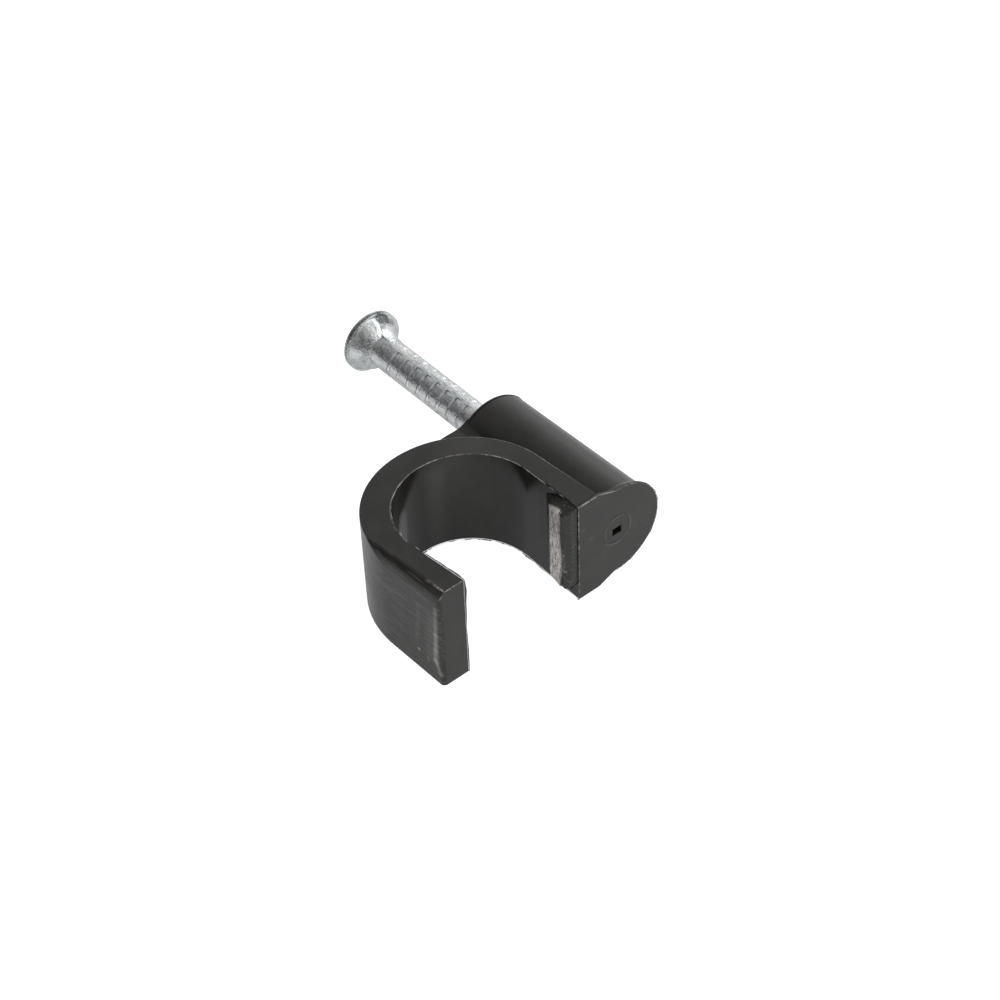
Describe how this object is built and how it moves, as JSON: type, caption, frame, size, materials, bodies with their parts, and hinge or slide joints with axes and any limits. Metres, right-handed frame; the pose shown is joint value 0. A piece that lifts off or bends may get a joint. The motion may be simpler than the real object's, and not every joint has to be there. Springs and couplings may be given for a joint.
{
  "type": "cable clip",
  "caption": "Nail-in round cable clip: a moulded black hook with a nail boss and a snap rib, and a plated steel nail set in the boss.",
  "frame": {"origin": "on the axis of the cable seat, at the middle of the clip's width", "axes": "+Z along the cable, +Y away from the wall towards the nail's head, -Y out of the wall face, +X from the free arm to the nail boss"},
  "size_m": [0.0189, 0.0266, 0.0086],
  "materials": {
    "clip_plastic": "satin-gloss moulded black polyethylene",
    "plated_steel": "bright zinc plate with die marks"
  },
  "bodies": {
    "root": {"clip_body": "clip_plastic", "nail": "plated_steel"}
  },
  "joints": []
}
